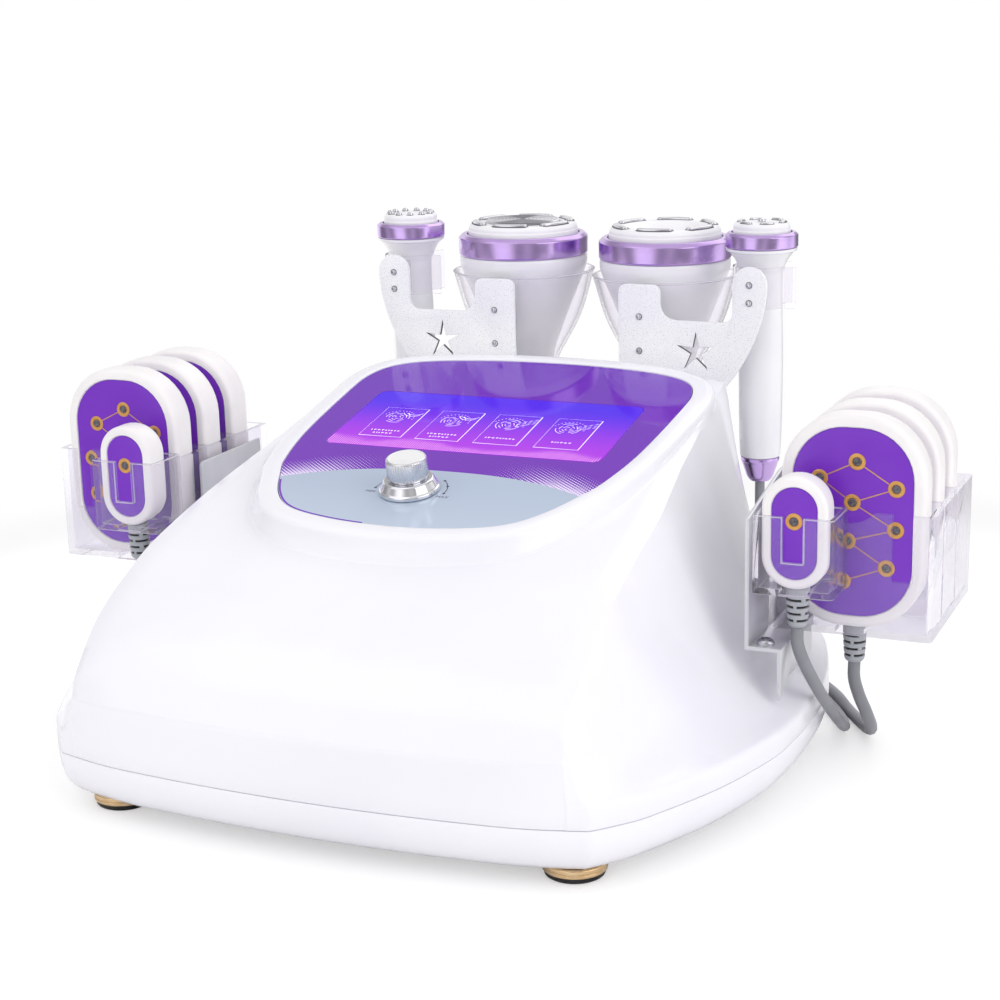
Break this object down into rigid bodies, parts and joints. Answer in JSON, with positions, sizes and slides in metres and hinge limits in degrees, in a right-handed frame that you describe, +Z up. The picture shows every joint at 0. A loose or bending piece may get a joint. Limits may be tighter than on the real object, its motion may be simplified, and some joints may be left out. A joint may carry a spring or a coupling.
{
  "type": "multifunction beauty machine",
  "caption": "Desktop beauty machine: wedge console with touch panel and suction knob, rear rack of hand pieces in cups and clips, side boxes of light pads.",
  "frame": {"origin": "on the table under the middle of the machine's width and depth, free leads left out", "axes": "+X to the operator's right, +Y away from the operator, +Z up"},
  "size_m": [0.4888, 0.4582, 0.2527],
  "materials": {
    "housing_white": "glossy moulded",
    "panel_purple": "glossy acrylic",
    "screen_glass": "glossy",
    "rear_black": "matt",
    "rocker_black": "satin",
    "plate_white": "speckled powder coat",
    "knob_silver": "satin",
    "electrode_chrome": "polished",
    "foot_brass": "satin",
    "clear_acrylic": "clear polished",
    "bracket_steel": "satin",
    "handle_white": "glossy moulded",
    "ring_purple": "anodised",
    "head_white": "satin",
    "pad_white": "satin moulded",
    "pad_purple": "glossy",
    "relief_grey": "matt",
    "cord_dark": "matt",
    "connector_grey": "matt"
  },
  "bodies": {
    "console": {"base_tray": "housing_white", "upper_housing": "housing_white", "control_panel": "panel_purple", "touch_screen": "screen_glass", "rear_panel": "rear_black", "mains_inlet": "rear_black", "foot_front_right": "foot_brass", "foot_front_left": "foot_brass", "foot_rear_right": "foot_brass", "foot_rear_left": "foot_brass", "handle_rack": "plate_white", "left_cup": "clear_acrylic", "right_cup": "clear_acrylic", "left_clip": "clear_acrylic", "right_clip": "clear_acrylic", "left_bracket": "bracket_steel", "left_pad_box": "clear_acrylic", "left_small_pad_box": "clear_acrylic", "right_bracket": "bracket_steel", "right_pad_box": "clear_acrylic", "right_small_pad_box": "clear_acrylic", "small_pad_lead": "cord_dark", "small_pad_coil": "cord_dark", "small_pad_connector": "connector_grey", "big_pad_lead": "cord_dark", "big_pad_coil": "cord_dark", "big_pad_connector": "connector_grey", "handle_lead": "cord_dark", "handle_coil": "cord_dark", "handle_connector": "connector_grey"},
    "knob": {"suction_knob": "knob_silver"},
    "rocker": {"power_rocker": "rocker_black"},
    "left_small_handle": {"small_left_body": "handle_white", "small_left_ring": "ring_purple", "small_left_head": "head_white"},
    "left_big_handle": {"big_left_body": "handle_white", "big_left_ring": "ring_purple", "big_left_head": "head_white", "transducer_disc": "electrode_chrome"},
    "left_light_pad_1": {"left_pad_1": "pad_white", "left_pad_1_face": "pad_purple"},
    "left_light_pad_2": {"left_pad_2": "pad_white"},
    "left_light_pad_3": {"left_pad_3": "pad_white"},
    "left_small_light_pad": {"left_small_pad": "pad_white", "left_small_pad_face": "pad_purple", "left_small_pad_relief": "relief_grey"},
    "right_small_handle": {"small_right_body": "handle_white", "small_right_ring": "ring_purple", "small_right_head": "head_white"},
    "right_big_handle": {"big_right_body": "handle_white", "big_right_ring": "ring_purple", "big_right_head": "head_white"},
    "right_light_pad_1": {"right_pad_1": "pad_white", "right_pad_1_face": "pad_purple", "right_pad_1_relief": "relief_grey"},
    "right_light_pad_2": {"right_pad_2": "pad_white"},
    "right_light_pad_3": {"right_pad_3": "pad_white"},
    "right_small_light_pad": {"right_small_pad": "pad_white", "right_small_pad_face": "pad_purple", "right_small_pad_relief": "relief_grey"}
  },
  "joints": [
    {"name": "knob_turn", "type": "hinge", "parent": "console", "child": "knob", "pos_m": [-0.0045, -0.07592, 0.14304], "axis": [0, -0.1908, 0.9816], "range_deg": [-150, 150]},
    {"name": "rocker_tilt", "type": "hinge", "parent": "console", "child": "rocker", "pos_m": [0.056, 0.123, 0.115], "axis": [1, 0, 0], "range_deg": [-14, 0]},
    {"name": "left_small_handle_lift", "type": "slide", "parent": "console", "child": "left_small_handle", "axis": [0, 0, 1], "range_m": [0, 0.13]},
    {"name": "left_big_handle_lift", "type": "slide", "parent": "console", "child": "left_big_handle", "axis": [0, 0, 1], "range_m": [0, 0.095]},
    {"name": "left_pad_1_lift", "type": "slide", "parent": "console", "child": "left_light_pad_1", "axis": [0, 0, 1], "range_m": [0, 0.066]},
    {"name": "left_pad_2_lift", "type": "slide", "parent": "console", "child": "left_light_pad_2", "axis": [0, 0, 1], "range_m": [0, 0.066]},
    {"name": "left_pad_3_lift", "type": "slide", "parent": "console", "child": "left_light_pad_3", "axis": [0, 0, 1], "range_m": [0, 0.066]},
    {"name": "left_small_pad_lift", "type": "slide", "parent": "console", "child": "left_small_light_pad", "axis": [0, 0, 1], "range_m": [0, 0.06]},
    {"name": "right_small_handle_lift", "type": "slide", "parent": "console", "child": "right_small_handle", "axis": [0, 0, 1], "range_m": [0, 0.13]},
    {"name": "right_big_handle_lift", "type": "slide", "parent": "console", "child": "right_big_handle", "axis": [0, 0, 1], "range_m": [0, 0.095]},
    {"name": "right_pad_1_lift", "type": "slide", "parent": "console", "child": "right_light_pad_1", "axis": [0, 0, 1], "range_m": [0, 0.066]},
    {"name": "right_pad_2_lift", "type": "slide", "parent": "console", "child": "right_light_pad_2", "axis": [0, 0, 1], "range_m": [0, 0.066]},
    {"name": "right_pad_3_lift", "type": "slide", "parent": "console", "child": "right_light_pad_3", "axis": [0, 0, 1], "range_m": [0, 0.066]},
    {"name": "right_small_pad_lift", "type": "slide", "parent": "console", "child": "right_small_light_pad", "axis": [0, 0, 1], "range_m": [0, 0.06]}
  ]
}
